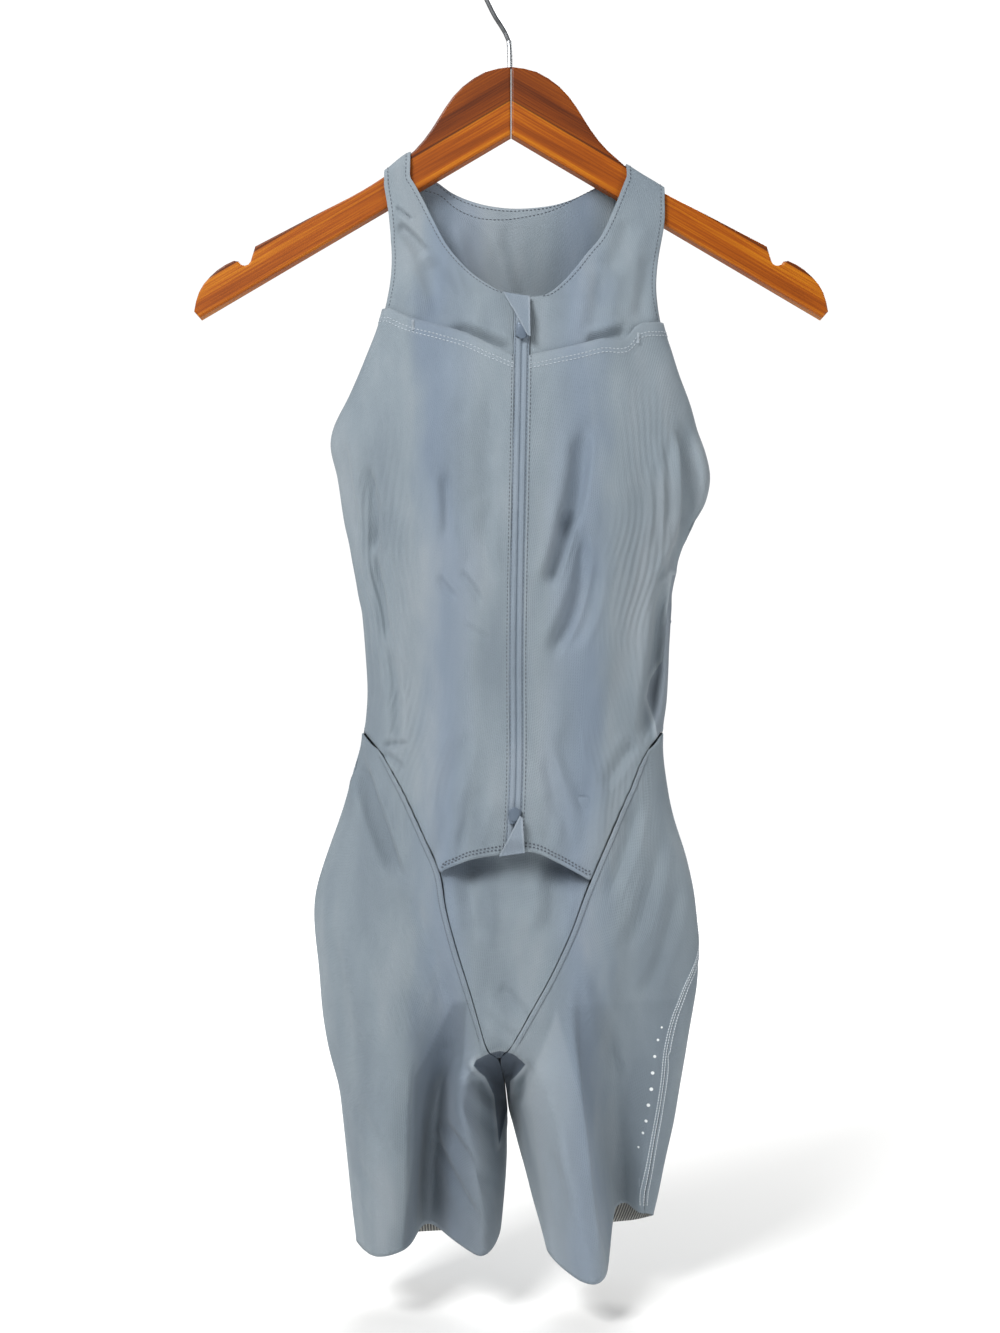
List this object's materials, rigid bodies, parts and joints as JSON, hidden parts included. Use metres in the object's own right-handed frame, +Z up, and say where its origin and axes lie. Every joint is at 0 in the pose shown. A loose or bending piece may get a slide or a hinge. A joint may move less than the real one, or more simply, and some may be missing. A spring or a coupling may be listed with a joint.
{
  "type": "running one-piece on a wooden hanger",
  "caption": "Sleeveless running suit with a full front zip, a V-shaped yoke and mid-thigh legs, hanging flat on a wooden hanger with a wire hook.",
  "frame": {"origin": "inside top of the hanger's hook, where a rail carries it, in the middle of the wire's width", "axes": "+Z up, -Y towards the front of the garment, +X towards the right of a viewer who faces the front"},
  "size_m": [0.4462, 0.1021, 0.9358],
  "materials": {
    "cloth": "matt compressive knit in dusty blue-grey",
    "grip_band": "ribbed elastic, grey",
    "slider_metal": "satin enamel on cast zinc",
    "wood": "laminated bamboo strips under clear varnish",
    "hook_wire": "plated steel wire"
  },
  "bodies": {
    "root": {"yoke_left": "cloth", "yoke_right": "cloth", "body_left": "cloth", "body_right": "cloth", "back_body": "cloth", "crotch_panel": "cloth", "leg_front_left": "cloth", "leg_front_right": "cloth", "leg_back_left": "cloth", "leg_back_right": "cloth", "grip_left": "grip_band", "grip_right": "grip_band", "zip": "cloth", "zip_guard_top": "cloth", "zip_guard_end": "cloth", "zip_slider_top": "slider_metal", "zip_slider_end": "slider_metal", "hanger_arm_left": "wood", "hanger_arm_right": "wood", "hanger_hook": "hook_wire"}
  },
  "joints": []
}
